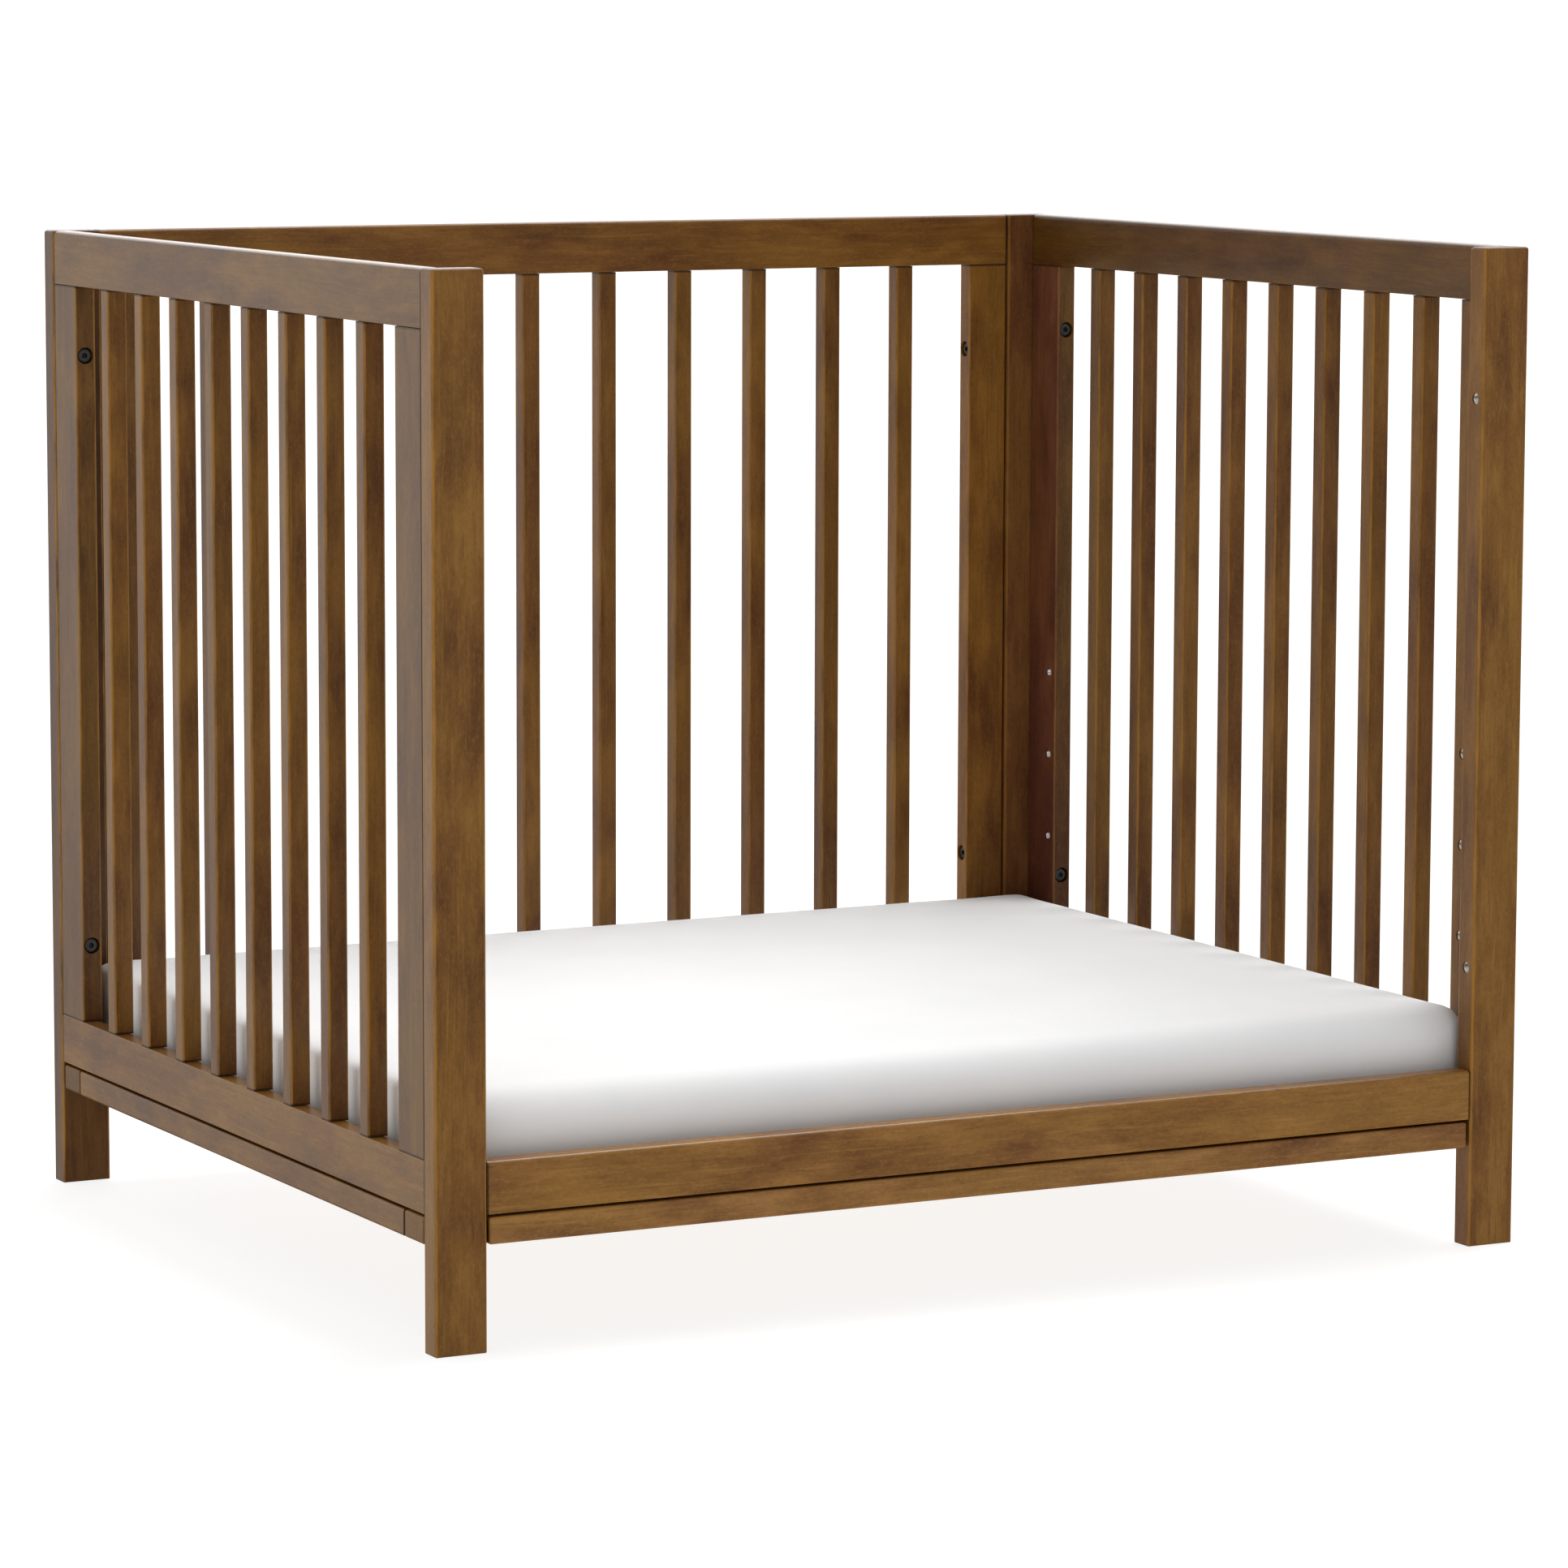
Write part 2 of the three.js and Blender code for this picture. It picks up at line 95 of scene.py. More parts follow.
# ------------------------------------------------------------------ node helpers
class Graph:
    """Short names for building a material."""

    def __init__(self, name):
        self.mat = bpy.data.materials.new(name)
        self.mat.use_nodes = True
        self.tree = self.mat.node_tree
        self.tree.nodes.clear()
        self.out = self.tree.nodes.new("ShaderNodeOutputMaterial")
        self.bsdf = self.tree.nodes.new("ShaderNodeBsdfPrincipled")
        self.tree.links.new(self.bsdf.outputs[0], self.out.inputs[0])

    def link(self, a, b):
        self.tree.links.new(a, b)

    def put(self, socket, value):
        if hasattr(value, "is_output"):
            self.link(value, socket)
        else:
            socket.default_value = value

    def coords(self):
        return self.tree.nodes.new("ShaderNodeTexCoord").outputs["Object"]

    def mapping(self, vector, scale=(1, 1, 1), location=(0, 0, 0), rotation=(0, 0, 0)):
        n = self.tree.nodes.new("ShaderNodeMapping")
        self.put(n.inputs["Vector"], vector)
        n.inputs["Scale"].default_value = scale
        n.inputs["Location"].default_value = location
        n.inputs["Rotation"].default_value = rotation
        return n.outputs[0]

    def noise(self, vector, scale=1.0, detail=2.0, roughness=0.5, distortion=0.0, color=False):
        n = self.tree.nodes.new("ShaderNodeTexNoise")
        self.put(n.inputs["Vector"], vector)
        n.inputs["Scale"].default_value = scale
        n.inputs["Detail"].default_value = detail
        n.inputs["Roughness"].default_value = roughness
        n.inputs["Distortion"].default_value = distortion
        return n.outputs["Color" if color else "Fac"]

    def wave(self, vector, scale=1.0, distortion=0.0, detail=2.0, direction="X", profile="SIN"):
        n = self.tree.nodes.new("ShaderNodeTexWave")
        n.wave_type = "BANDS"
        n.bands_direction = direction
        n.wave_profile = profile
        self.put(n.inputs["Vector"], vector)
        n.inputs["Scale"].default_value = scale
        n.inputs["Distortion"].default_value = distortion
        n.inputs["Detail"].default_value = detail
        n.inputs["Detail Scale"].default_value = 1.0
        return n.outputs["Fac"]

    def math(self, op, a, b=0.0, c=0.0, clamp=False):
        n = self.tree.nodes.new("ShaderNodeMath")
        n.operation = op
        n.use_clamp = clamp
        for s, v in zip(n.inputs, (a, b, c)):
            self.put(s, v)
        return n.outputs[0]

    def vmath(self, op, a, b=(0, 0, 0), scale=None):
        n = self.tree.nodes.new("ShaderNodeVectorMath")
        n.operation = op
        self.put(n.inputs[0], a)
        self.put(n.inputs[1], b)
        if scale is not None:
            self.put(n.inputs["Scale"], scale)
        return n.outputs[0]

    def remap(self, v, a, b, c=0.0, d=1.0, smooth=False):
        n = self.tree.nodes.new("ShaderNodeMapRange")
        n.interpolation_type = "SMOOTHSTEP" if smooth else "LINEAR"
        n.clamp = True
        self.put(n.inputs["Value"], v)
        for key, val in (("From Min", a), ("From Max", b), ("To Min", c), ("To Max", d)):
            n.inputs[key].default_value = val
        return n.outputs[0]

    def ramp(self, v, stops, mode="LINEAR"):
        n = self.tree.nodes.new("ShaderNodeValToRGB")
        n.color_ramp.interpolation = mode
        e = n.color_ramp.elements
        while len(e) < len(stops):
            e.new(0.5)
        for el, (pos, col) in zip(e, stops):
            el.position = pos
            el.color = (*col, 1.0)
        self.put(n.inputs[0], v)
        return n.outputs[0]

    def mix(self, fac, a, b, mode="MIX"):
        n = self.tree.nodes.new("ShaderNodeMix")
        n.data_type = "RGBA"
        n.blend_type = mode
        n.clamp_factor = True
        self.put(n.inputs[0], fac)
        for s, v in ((n.inputs[6], a), (n.inputs[7], b)):
            if isinstance(v, tuple) and len(v) == 3:
                v = (*v, 1.0)
            self.put(s, v)
        return n.outputs[2]

    def bump(self, height, strength, distance, normal=None):
        n = self.tree.nodes.new("ShaderNodeBump")
        n.inputs["Strength"].default_value = strength
        n.inputs["Distance"].default_value = distance
        self.put(n.inputs["Height"], height)
        if normal is not None:
            self.put(n.inputs["Normal"], normal)
        return n.outputs[0]

    def xyz(self, vector):
        n = self.tree.nodes.new("ShaderNodeSeparateXYZ")
        self.put(n.inputs[0], vector)
        return n.outputs[0], n.outputs[1], n.outputs[2]


# ------------------------------------------------------------------ stained wood, with painted light and shade
def along(axis, long_value, cross_value):
    v = [cross_value] * 3
    v[axis] = long_value
    return tuple(v)


def stained_wood(name, axis, seed, lo, hi, tone=1.0, red=0.0, edge=2.2 * MM, wear=0.7, wear_box=None, tint=(1.0, 1.0, 1.0), seam=None, butt=False, tint_side=None):
    """Walnut-stained hardwood, with painted light and shade. axis: grain direction. lo, hi: the visible bar's box, for
    the rubbed edges.
    tone and tint scale the piece's colour; set per piece they paint light and shade, lighter where light falls on a
    piece and darker where it stands in shade. red turns it warmer and strengthens the dark reddish patches, painted
    shade on the back-right corner pieces.
    edge is how far the rubbed edge reaches and wear how strong it is;
    wear_box is the box whose edges wear, larger than the bar where a neighbour protects it. seam is the coordinate
    index and place of a side that stands against a neighbour, where the stain gathers in the joint and a painted shade
    of the gap darkens it, as it does at the ends if butt is set. tint_side limits the tint to one side, for painted
    shade on one face.
    Surfaces more than 1.4 mm inside the bar's box, such as bolt recesses, get painted shade."""
    rng = np.random.default_rng(seed)
    g = Graph(name)
    p = g.coords()
    off = tuple(float(x) for x in rng.uniform(-40, 40, 3))
    off2 = tuple(float(x) for x in rng.uniform(-40, 40, 3))
    # slow wander of the grain lines
    wander = g.noise(g.mapping(p, along(axis, 4.0, 16.0), off), 1.0, 2.0, 0.5, color=True)
    q = g.vmath("ADD", p, g.vmath("SCALE", g.vmath("SUBTRACT", wander, (0.5, 0.5, 0.5)), scale=0.016))
    # stain that took unevenly: broad patches, cloudy blotches, soft lengthwise bands
    patch = g.noise(g.mapping(p, along(axis, 3.4, 13.0), off2), 1.0, 2.0, 0.5)
    blotch = g.noise(g.mapping(q, along(axis, 11.0, 34.0), off), 1.0, 4.0, 0.58)
    bands = g.noise(g.mapping(q, along(axis, 3.2, 105.0), off2), 1.0, 3.0, 0.55)
    # closed, fine grain: soft lines, faint pores, a fine tooth in the finish
    lines = g.noise(g.mapping(q, along(axis, 42.0, 330.0), off), 1.0, 4.0, 0.60)
    pores = g.noise(g.mapping(q, along(axis, 170.0, 850.0), off2), 1.0, 2.0, 0.55)
    tooth = g.noise(g.mapping(p, along(axis, 300.0, 560.0), off), 1.0, 3.0, 0.6)
    base = g.ramp(
        g.remap(blotch, 0.36, 0.64),
        [
            (0.0, (0.094, 0.0345, 0.0066)),
            (0.30, (0.132, 0.0530, 0.0088)),
            (0.60, (0.158, 0.0670, 0.0110)),
            (1.0, (0.208, 0.0950, 0.0165)),
        ],
    )
    gold = g.mix(g.remap(patch, 0.50, 0.66, 0.0, 0.60), base, (0.196, 0.0930, 0.0110))
    deep = g.mix(g.remap(patch, 0.48, 0.33, 0.0, min(0.50 + red, 0.9)), gold, (0.102, 0.0345, 0.0085))
    banded = g.mix(g.remap(bands, 0.50, 0.68, 0.0, 0.20), deep, (0.088, 0.0340, 0.0062))
    banded = g.mix(g.remap(bands, 0.47, 0.30, 0.0, 0.20), banded, (0.225, 0.1050, 0.0170))
    lined = g.mix(g.remap(lines, 0.50, 0.72, 0.0, 0.24), banded, (0.074, 0.0285, 0.0056))
    lined = g.mix(g.remap(lines, 0.48, 0.28, 0.0, 0.28), lined, (0.245, 0.1200, 0.0220))
    pored = g.mix(g.remap(pores, 0.54, 0.76, 0.0, 0.20), lined, (0.056, 0.0215, 0.0050))
    toothed = g.mix(g.remap(tooth, 0.47, 0.27, 0.0, 0.22), pored, (0.300, 0.1560, 0.0330))
    flecked = g.mix(g.remap(tooth, 0.54, 0.74, 0.0, 0.24), toothed, (0.066, 0.0260, 0.0060))
    streaks = g.noise(g.mapping(q, along(axis, 7.0, 620.0), off2), 1.0, 2.0, 0.5)
    flecked = g.mix(g.math("MULTIPLY", g.remap(streaks, 0.60, 0.70, 0.0, 0.30), g.remap(blotch, 0.40, 0.56)), flecked, (0.062, 0.0240, 0.0058))
    flecked = g.mix(g.math("MULTIPLY", g.remap(streaks, 0.40, 0.31, 0.0, 0.26), g.remap(patch, 0.42, 0.56)), flecked, (0.290, 0.1480, 0.0330))
    # the piece's tone and tint: painted light and shade where a piece is set lighter or darker for how light falls on
    # it
    level = g.mix(1.0, flecked, tuple(tone * (1.0 if tint_side else x) for x in tint), mode="MULTIPLY")
    # tint on one face only: painted shade on the right rear stile's inner face, in the back-right corner
    if tint_side:
        on_side = g.math("ABSOLUTE", g.math("SUBTRACT", g.xyz(p)[tint_side[0]], tint_side[1]))
        level = g.mix(g.remap(on_side, 0.0016, 0.0006, 0.0, 1.0), level, g.mix(1.0, level, tint, mode="MULTIPLY"))
    # stain rubbed thin along the edges
    c = [(a + b) / 2 for a, b in zip(lo, hi)]
    h = [(b - a) / 2 for a, b in zip(lo, hi)]
    coords = g.xyz(p)
    end_near = g.math("SUBTRACT", h[axis], g.math("ABSOLUTE", g.math("SUBTRACT", coords[axis], c[axis])))
    wlo, whi = wear_box or (lo, hi)
    near = []
    for i, v in enumerate(coords):
        reach_out = 0.05 if i == axis else 0.0
        wc, wh = (wlo[i] + whi[i]) / 2, (whi[i] - wlo[i]) / 2 + reach_out
        near.append(g.math("SUBTRACT", wh, g.math("ABSOLUTE", g.math("SUBTRACT", v, wc))))
    small = g.math("MINIMUM", near[0], near[1])
    large = g.math("MAXIMUM", near[0], near[1])
    middle = g.math("MAXIMUM", small, g.math("MINIMUM", large, near[2]))
    ragged = g.noise(g.mapping(p, along(axis, 16.0, 90.0), off2), 1.0, 4.0, 0.65)
    reach = g.math("SUBTRACT", middle, g.math("MULTIPLY", g.math("SUBTRACT", ragged, 0.5), edge * 1.2))
    rub = g.math("MULTIPLY", g.remap(reach, edge, edge * 0.45, 0.0, 1.0, smooth=True), g.remap(ragged, 0.36, 0.56, 0.45, 1.0))
    worn_and_shaded = g.mix(g.math("MULTIPLY", rub, wear), level, (0.360, 0.1640, 0.0200))
    # dark line along the side that stands against a neighbour: stain gathered in the joint and painted shade of the
    # gap, nearly black within 2 mm
    if seam:
        gap = g.math("ABSOLUTE", g.math("SUBTRACT", coords[seam[0]], seam[1]))
        worn_and_shaded = g.mix(g.remap(gap, 0.0020, 0.0009, 0.0, 0.88), worn_and_shaded, (0.016, 0.0070, 0.0026))
    # the same dark line at the ends where the piece butts a neighbour: stain gathered in the joint and painted shade of
    # the gap
    if butt:
        worn_and_shaded = g.mix(g.remap(end_near, 0.0019, 0.0009, 0.0, 0.92), worn_and_shaded, (0.016, 0.0070, 0.0026))
    # painted shade: surfaces more than 1.4 mm inside the bar's box, in a bolt's recess and other hollows, are darkened
    # nearly to black
    depth = [g.math("SUBTRACT", h[i], g.math("ABSOLUTE", g.math("SUBTRACT", v, c[i]))) for i, v in enumerate(coords)]
    deepest = g.math("MINIMUM", g.math("MINIMUM", depth[0], depth[1]), depth[2])
    worn_and_shaded = g.mix(g.remap(deepest, 0.0014, 0.0034, 0.0, 0.80), worn_and_shaded, (0.016, 0.0075, 0.0030))
    # end grain drinks more stain
    ends = g.remap(end_near, 0.0014, 0.0003, 0.0, 1.0)
    speck = g.noise(g.mapping(p, (900.0, 900.0, 900.0), off), 1.0, 2.0, 0.6)
    ended = g.mix(g.math("MULTIPLY", ends, 0.60), worn_and_shaded, g.ramp(speck, [(0.35, (0.055, 0.0230, 0.0060)), (0.65, (0.135, 0.0640, 0.0180))]))
    g.put(g.bsdf.inputs["Base Color"], ended)
    rough = g.math("ADD", g.remap(blotch, 0.3, 0.7, 0.37, 0.41), g.remap(pores, 0.56, 0.75, 0.0, 0.05))
    g.put(g.bsdf.inputs["Roughness"], g.math("ADD", rough, g.math("MULTIPLY", ends, 0.15)))
    g.bsdf.inputs["IOR"].default_value = 1.45
    g.bsdf.inputs["Specular IOR Level"].default_value = 0.24
    g.bsdf.inputs["Coat Weight"].default_value = 0.24
    g.bsdf.inputs["Coat Roughness"].default_value = 0.19
    g.bsdf.inputs["Coat IOR"].default_value = 1.4
    height = g.math("ADD", g.math("MULTIPLY", lines, 0.45), g.math("MULTIPLY", g.remap(pores, 0.75, 0.55), 0.35))
    soft = g.bump(g.noise(g.mapping(p, along(axis, 18.0, 70.0), off), 1.0, 2.0, 0.5), 0.12, 0.0012)
    g.put(g.bsdf.inputs["Normal"], g.bump(height, 0.14, 0.0003, soft))
    return g.mat


def pale_board(name):
    """Bare birch plywood: pale face, layered edge."""
    g = Graph(name)
    p = g.coords()
    wander = g.noise(g.mapping(p, (1.5, 7.0, 1.0)), 1.0, 2.0, 0.5, color=True)
    q = g.vmath("ADD", p, g.vmath("SCALE", g.vmath("SUBTRACT", wander, (0.5, 0.5, 0.5)), scale=0.05))
    figure = g.noise(g.mapping(q, (1.2, 34.0, 1.0)), 1.0, 4.0, 0.6)
    fibre = g.noise(g.mapping(q, (12.0, 420.0, 420.0)), 1.0, 2.0, 0.6)
    face = g.ramp(g.remap(figure, 0.3, 0.7), [(0.0, (0.36, 0.235, 0.125)), (0.5, (0.47, 0.325, 0.185)), (1.0, (0.55, 0.40, 0.245))])
    face = g.mix(g.remap(fibre, 0.5, 0.72, 0.0, 0.3), face, (0.30, 0.18, 0.09))
    _, _, z = g.xyz(p)
    ply = g.math("SINE", g.math("MULTIPLY", z, 2.0 * math.pi / 0.0024))
    top = g.remap(g.math("ABSOLUTE", g.math("SUBTRACT", z, BOARD_MID)), BOARD_HALF - 0.0006, BOARD_HALF - 0.0002, 1.0, 0.0)
    edge = g.mix(g.math("MULTIPLY", g.remap(ply, -0.4, 0.4), top), face, (0.21, 0.115, 0.055))
    g.put(g.bsdf.inputs["Base Color"], edge)
    g.put(g.bsdf.inputs["Roughness"], g.remap(fibre, 0.3, 0.7, 0.55, 0.72))
    g.put(g.bsdf.inputs["Normal"], g.bump(fibre, 0.2, 0.0003))
    return g.mat


# light below 1 makes a dimmed, non-metal copy of the finish: painted shade, used inside the hex socket
def black_oxide(name, light=1.0):
    g = Graph(name)
    p = g.coords()
    mott = g.noise(p, 900.0, 3.0, 0.6)
    grain = g.noise(p, 6000.0, 2.0, 0.6)
    g.put(g.bsdf.inputs["Base Color"], g.ramp(g.remap(mott, 0.3, 0.7), [(0.0, tuple(light * x for x in (0.046, 0.046, 0.043))), (1.0, tuple(light * x for x in (0.105, 0.103, 0.094)))]))
    g.bsdf.inputs["Metallic"].default_value = 0.55 if light == 1.0 else 0.0
    g.put(g.bsdf.inputs["Roughness"], g.remap(mott, 0.3, 0.7, 0.36, 0.52))
    g.put(g.bsdf.inputs["Normal"], g.bump(grain, 0.25, 0.00005))
    return g.mat


def powder_coat(name):
    g = Graph(name)
    p = g.coords()
    peel = g.noise(p, 650.0, 3.0, 0.6)
    speck = g.noise(p, 2600.0, 2.0, 0.5)
    g.put(g.bsdf.inputs["Base Color"], g.ramp(g.remap(speck, 0.3, 0.7), [(0.0, (0.020, 0.020, 0.021)), (1.0, (0.036, 0.036, 0.038))]))
    g.put(g.bsdf.inputs["Roughness"], g.remap(peel, 0.3, 0.7, 0.42, 0.56))
    g.put(g.bsdf.inputs["Normal"], g.bump(peel, 0.35, 0.0002))
    return g.mat


def nickel(name):
    g = Graph(name)
    p = g.coords()
    turned = g.noise(p, 1800.0, 2.0, 0.6)
    smear = g.noise(p, 260.0, 3.0, 0.6)
    g.put(g.bsdf.inputs["Base Color"], g.ramp(g.remap(smear, 0.3, 0.7), [(0.0, (0.56, 0.53, 0.48)), (1.0, (0.80, 0.78, 0.74))]))
    g.bsdf.inputs["Metallic"].default_value = 1.0
    g.put(g.bsdf.inputs["Roughness"], g.remap(smear, 0.3, 0.7, 0.14, 0.30))
    g.put(g.bsdf.inputs["Normal"], g.bump(turned, 0.2, 0.00006))
    return g.mat


def mattress_cloth(name):
    """Smooth white polyester knit."""
    g = Graph(name)
    p = g.coords()
    rib_x = g.wave(g.mapping(p, (1.0, 1.0, 1.0)), 330.0, 0.6, 1.0, "X")
    rib_y = g.wave(g.mapping(p, (1.0, 1.0, 1.0)), 330.0, 0.6, 1.0, "Y")
    rib_z = g.wave(g.mapping(p, (1.0, 1.0, 1.0)), 330.0, 0.6, 1.0, "Z")
    knit = g.math("MULTIPLY", g.math("ADD", g.math("ADD", rib_x, rib_y), rib_z), 0.3333)
    fuzz = g.noise(p, 1500.0, 3.0, 0.6)
    broad = g.noise(p, 9.0, 3.0, 0.5)
    tint = g.ramp(g.remap(broad, 0.3, 0.7), [(0.0, (0.865, 0.868, 0.874)), (1.0, (0.895, 0.895, 0.893))])
    shade = g.mix(g.remap(knit, 0.25, 0.75, 0.035, 0.0), tint, (0.70, 0.71, 0.725))
    g.put(g.bsdf.inputs["Base Color"], shade)
    g.put(g.bsdf.inputs["Roughness"], g.remap(fuzz, 0.3, 0.7, 0.80, 0.92))
    g.bsdf.inputs["Sheen Weight"].default_value = 0.15
    g.bsdf.inputs["Sheen Roughness"].default_value = 0.4
    g.bsdf.inputs["Specular IOR Level"].default_value = 0.3
    under = g.bump(g.noise(p, 16.0, 2.0, 0.5), 0.12, 0.004)
    g.put(g.bsdf.inputs["Normal"], g.bump(g.math("ADD", g.math("MULTIPLY", knit, 0.6), g.math("MULTIPLY", fuzz, 0.5)), 0.10, 0.0003, under))
    return g.mat


# ------------------------------------------------------------------ CAD nodes: rounded edges and finishes
def clear_custom_normals(me):
    for n in ("custom_normal",):
        a = me.attributes.get(n)
        if a is not None:
            me.attributes.remove(a)


def set_material(o, mat):
    if not o.material_slots:
        o.data.materials.append(mat)
    for s in o.material_slots:
        s.material = mat


def soften(o, width, lo=None, hi=None, axis=None, ends=0.25, weight=None, segments=4):
    """Rounds the edges of a CAD node with modifiers. With lo and hi only the twelve edges of that box are rounded, so
    that holes, notches and tenons keep their size: the long ones by width, the end ones by ends times width, and
    weight(a, b) can give an edge a share of its own."""
    me = o.data
    clear_custom_normals(me)
    co = np.empty(len(me.vertices) * 3, np.float32)
    me.vertices.foreach_get("co", co)
    co = co.reshape(-1, 3)
    me.polygons.foreach_set("use_smooth", np.ones(len(me.polygons), bool))
    w = o.modifiers.new("weld", "WELD")
    w.merge_threshold = 2e-5
    d = o.modifiers.new("planar", "DECIMATE")
    d.decimate_type = "DISSOLVE"
    d.angle_limit = math.radians(1.0)
    b = o.modifiers.new("round", "BEVEL")
    b.width = width
    b.segments = segments
    b.use_clamp_overlap = False
    b.miter_outer = "MITER_SHARP"
    if lo is None:
        b.limit_method = "ANGLE"
        b.angle_limit = math.radians(40)
    else:
        eps = 2e-5
        at = np.stack([(np.abs(co[:, i] - lo[i]) < eps) | (np.abs(co[:, i] - hi[i]) < eps) for i in range(3)], 1)
        corner = at.all(1)
        ev = np.empty(len(me.edges) * 2, np.int32)
        me.edges.foreach_get("vertices", ev)
        ev = ev.reshape(-1, 2)
        both = corner[ev[:, 0]] & corner[ev[:, 1]]
        step = np.abs(co[ev[:, 0]] - co[ev[:, 1]])
        straight = (step > eps).sum(1) == 1
        share = np.zeros(len(ev), np.float32)
        for k in np.nonzero(both & straight)[0]:
            share[k] = 1.0 if step[k].argmax() == axis else ends
            if weight:
                share[k] *= weight(co[ev[k, 0]], co[ev[k, 1]])
        layer = me.attributes.get("bevel_weight_edge") or me.attributes.new("bevel_weight_edge", "FLOAT", "EDGE")
        layer.data.foreach_set("value", share)
        b.limit_method = "WEIGHT"
        sharp = me.attributes.get("sharp_edge") or me.attributes.new("sharp_edge", "BOOLEAN", "EDGE")
        sharp.data.foreach_set("value", share <= 0)
    n = o.modifiers.new("normals", "WEIGHTED_NORMAL")
    n.keep_sharp = True
    n.mode = "FACE_AREA"


BOARD_LO, BOARD_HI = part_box("mattress_board")
BOARD_MID, BOARD_HALF = (BOARD_LO.z + BOARD_HI.z) / 2, (BOARD_HI.z - BOARD_LO.z) / 2
LOW_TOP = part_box("left_bottom_rail")[1].z + 0.3 * MM
TOP_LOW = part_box("left_top_rail")[0].z - 0.3 * MM
SHADE = np.random.default_rng(7)

# Per-piece lightness of the stain, also painted light and shade: pieces that light falls on, such as the front rail and
# the front base board, are set lighter, and pieces that stand in shade, such as the rear left post and the right top
# rail, are set darker.
STAIN_AND_LIGHT_TONE = {
    "post_front_left": 1.20,
    "post_front_right": 1.24,
    "post_rear_left": 0.62,
    "post_rear_right": 0.92,
    "left_top_rail": 0.86,
    "left_bottom_rail": 1.06,
    "left_front_stile": 0.84,
    "left_rear_stile": 0.80,
    "left_slat": 1.00,
    "right_top_rail": 0.62,
    "right_rear_stile": 0.82,
    "right_slat": 0.98,
    "back_top_rail": 1.22,
    "back_right_stile": 1.22,
    "back_slat": 1.02,
    "front_rail": 1.56,
    "base_front_board": 1.72,
}


def wood(name, o, axis, seed, lo, hi, edge, spread, wear, wear_box=None, seam=None):
    # tone, tint and red come from the per-piece tables, which paint light and shade; the right rear stile's tint is
    # kept to its inner face as painted shade
    tone = STAIN_AND_LIGHT_TONE.get(name, STAIN_AND_LIGHT_TONE.get(name.rsplit("_", 1)[0], 1.0)) * (1.0 + float(SHADE.uniform(-spread, spread)))
    red = float(SHADE.uniform(-0.1, 0.2)) + RED_CORNER_SHADE.get(name, 0.0)
    set_material(o, stained_wood("stain_" + name, axis, seed, lo, hi, tone, red, edge, wear, wear_box, TINT_AND_SHADE.get(name, TINT_AND_SHADE.get(name.rsplit("_", 1)[0], (1.0, 1.0, 1.0))), seam, not name.startswith(("post", "base_front", "base_rear")), (0, lo[0]) if name == "right_rear_stile" else None))


def guarded(name, lo, hi):
    """The box of a stile, larger on the side that stands against a post, so that edge gets no rubbed wear."""
    wlo, whi = list(lo), list(hi)
    if name.endswith("front_stile"):
        wlo[1] -= 0.05
    elif name.endswith("rear_stile"):
        whi[1] += 0.05
    elif name == "back_left_stile":
        wlo[0] -= 0.05
    elif name == "back_right_stile":
        whi[0] += 0.05
    return wlo, whi


# Per-piece colour. The dark red-purple on the right rear stile's inner face and on the right rear post, with their
# extra red, is painted shade in the back-right inner corner; the other tints shift the stain's colour per piece.
RED_CORNER_SHADE = {"right_rear_stile": 0.5, "post_rear_right": 0.35}
TINT_AND_SHADE = {"right_rear_stile": (1.16, 0.90, 2.3), "post_rear_right": (1.12, 1.03, 1.7), "post_rear_left": (0.96, 0.84, 0.75), "front_rail": (0.98, 1.0, 1.30), "base_front_board": (0.97, 1.03, 1.60),
        "left_slat": (1.0, 0.96, 0.80), "back_slat": (1.02, 0.97, 0.82), "right_slat": (1.02, 0.97, 0.85), "back_right_stile": (1.06, 0.99, 0.70),
        "right_top_rail": (1.02, 0.95, 0.75), "back_top_rail": (0.97, 0.92, 0.80)}


def seam_of(name, lo, hi):
    """The side of a stile that stands against a post."""
    sides = {"front_stile": (1, lo[1]), "rear_stile": (1, hi[1]), "back_left_stile": (0, lo[0]), "back_right_stile": (0, hi[0])}
    for key, side in sides.items():
        if name.endswith(key):
            return side
    return None


